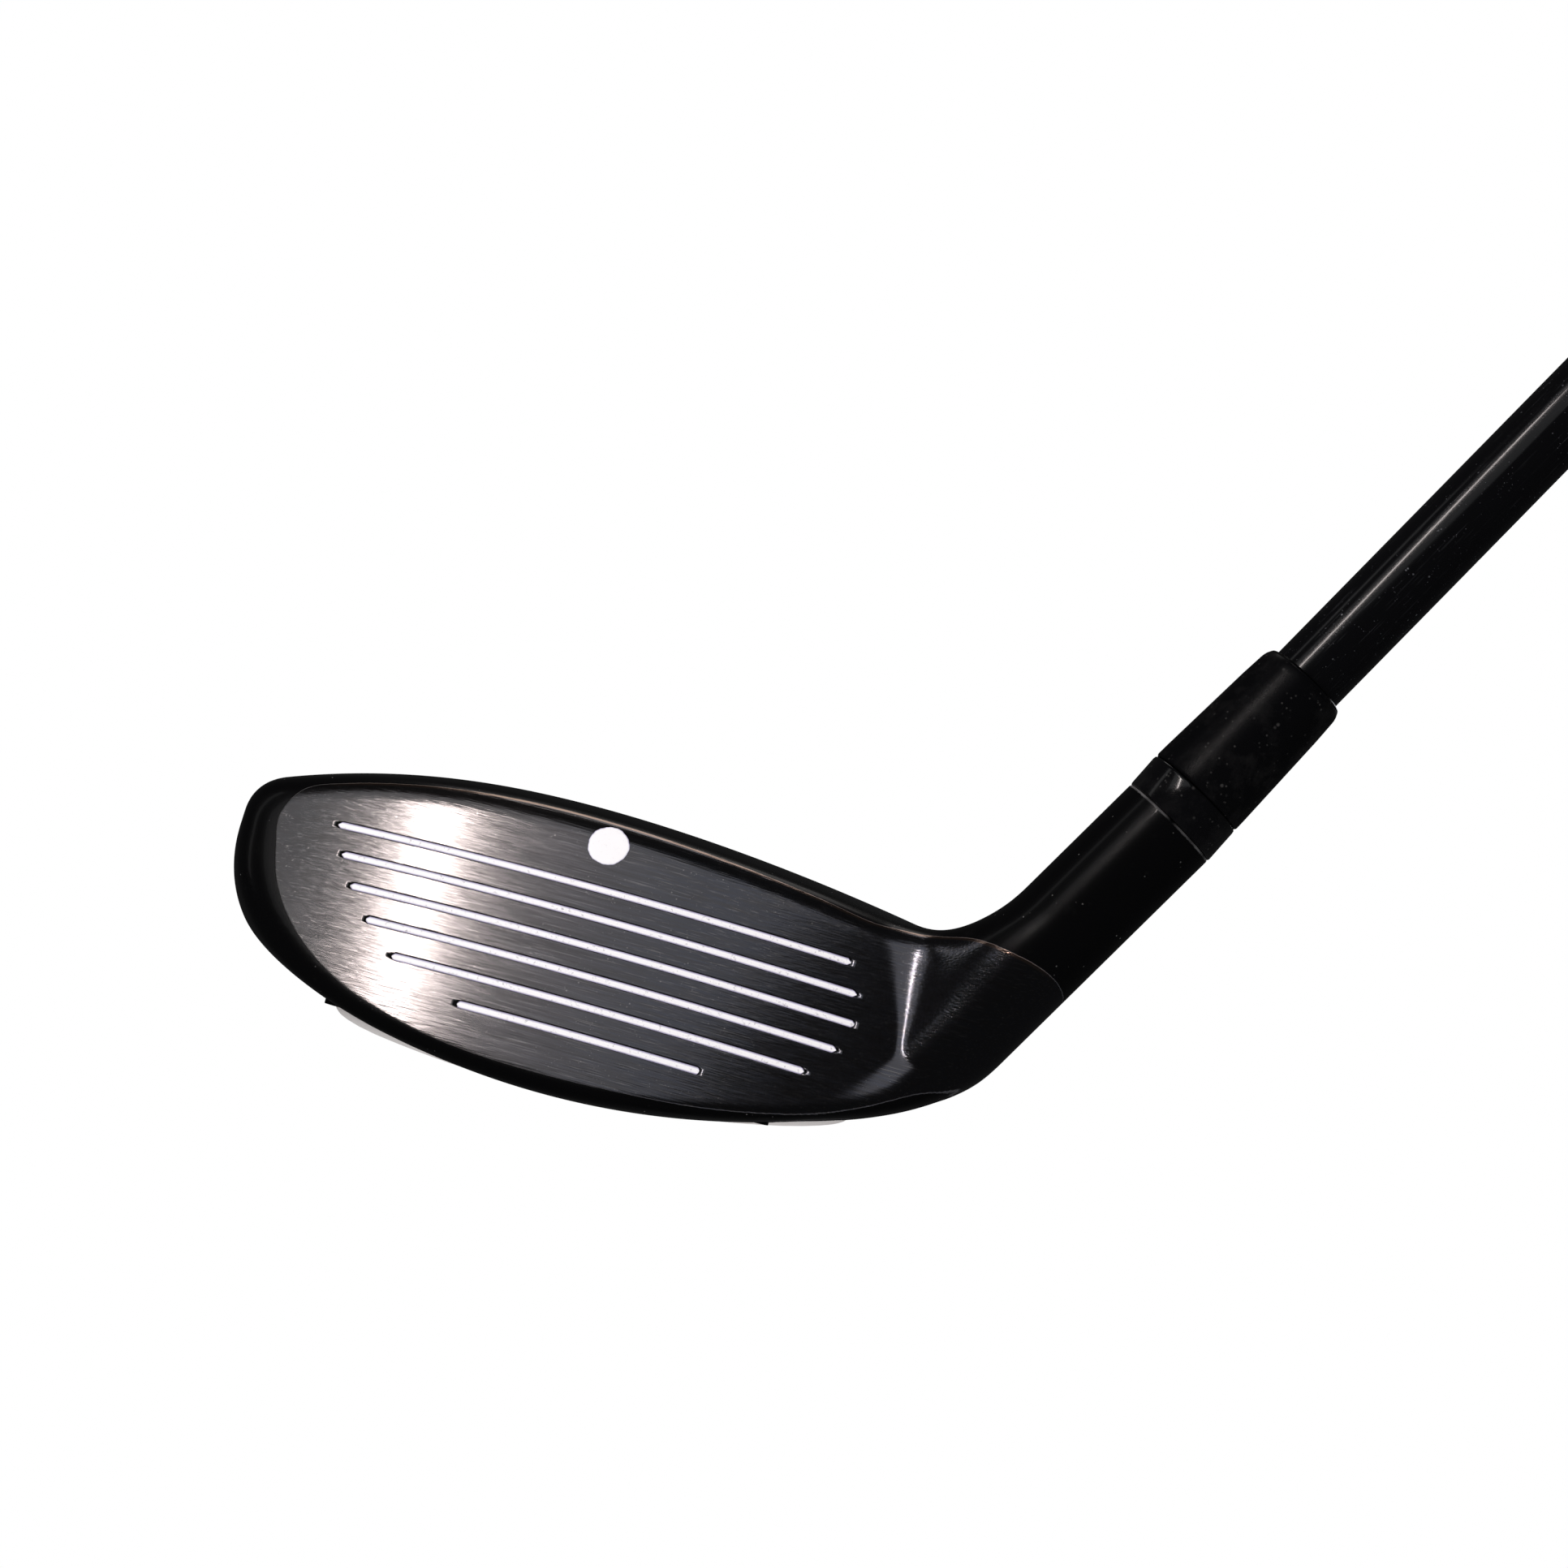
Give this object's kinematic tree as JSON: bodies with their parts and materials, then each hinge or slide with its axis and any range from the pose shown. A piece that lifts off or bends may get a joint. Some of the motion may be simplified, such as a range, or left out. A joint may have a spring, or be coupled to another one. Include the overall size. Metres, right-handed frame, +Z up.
{
  "type": "hybrid golf club",
  "caption": "Right-handed hybrid golf club with a hollow rounded head, lofted grooved face, tilted hosel with adapter sleeve, tapered shaft, ribbed grip and removable head and sole weight.",
  "frame": {"origin": "lowest point of the sole, where the club rests on the ground at address", "axes": "+X from toe to heel, -Y toward the target the face looks at, +Y to the rear of the head, +Z up from the ground"},
  "size_m": [0.5925, 0.0597, 0.8896],
  "materials": {
    "head_body": "gloss black paint",
    "crown_shell": "gloss black paint",
    "face_plate": "dark brushed",
    "alignment_dot": "white paint",
    "score_line_fill": "white paint",
    "slot_filler": "dark brown polymer",
    "sole_pad": "pale satin",
    "sole_weight": "turned",
    "weight_seal": "matt",
    "spline_seat": "machined",
    "screw_washer": "plated",
    "screw_retainer": "moulded",
    "hosel_screw": "black oxide",
    "adapter_sleeve": "gloss black anodised",
    "ferrule": "satin black",
    "shaft": "lacquered carbon",
    "tip_pin": "plain",
    "grip_tape": "paper tape",
    "grip": "textured",
    "grip_cap": "smooth"
  },
  "bodies": {
    "shaft_assembly": {"shaft": "shaft", "tip_pin": "tip_pin", "adapter_sleeve": "adapter_sleeve", "ferrule": "ferrule", "grip_tape": "grip_tape", "grip": "grip", "grip_cap": "grip_cap"},
    "head": {"head_body": "head_body", "face_plate": "face_plate", "crown_shell": "crown_shell", "sole_pad": "sole_pad", "slot_filler": "slot_filler", "alignment_dot": "alignment_dot", "score_line_fill": "score_line_fill", "spline_seat": "spline_seat", "screw_washer": "screw_washer", "screw_retainer": "screw_retainer"},
    "screw": {"hosel_screw": "hosel_screw"},
    "seal_ring": {"weight_seal": "weight_seal"},
    "weight": {"sole_weight": "sole_weight"}
  },
  "joints": [
    {"name": "head_release", "type": "slide", "parent": "shaft_assembly", "child": "head", "axis": [-0.5075, 0, -0.8616], "range_m": [0, 0.008]},
    {"name": "screw_turn", "type": "hinge", "parent": "head", "child": "screw", "pos_m": [0.0442, -0.001, 0.01723], "axis": [-0.5075, 0, -0.8616], "range_deg": [0, 3600]},
    {"name": "weight_backout", "type": "slide", "parent": "head", "child": "seal_ring", "axis": [0.02, 0.29, -0.9568], "range_m": [0, 0.005]},
    {"name": "weight_turn", "type": "hinge", "parent": "seal_ring", "child": "weight", "pos_m": [0.002, 0.029, 0.00432], "axis": [0.02, 0.29, -0.9568], "range_deg": [0, 1800]}
  ],
  "couplings": [
    {"joint": "screw_turn", "follows": "head_release", "rad_per_m": 7854},
    {"joint": "weight_turn", "follows": "weight_backout", "rad_per_m": 6283.2}
  ]
}
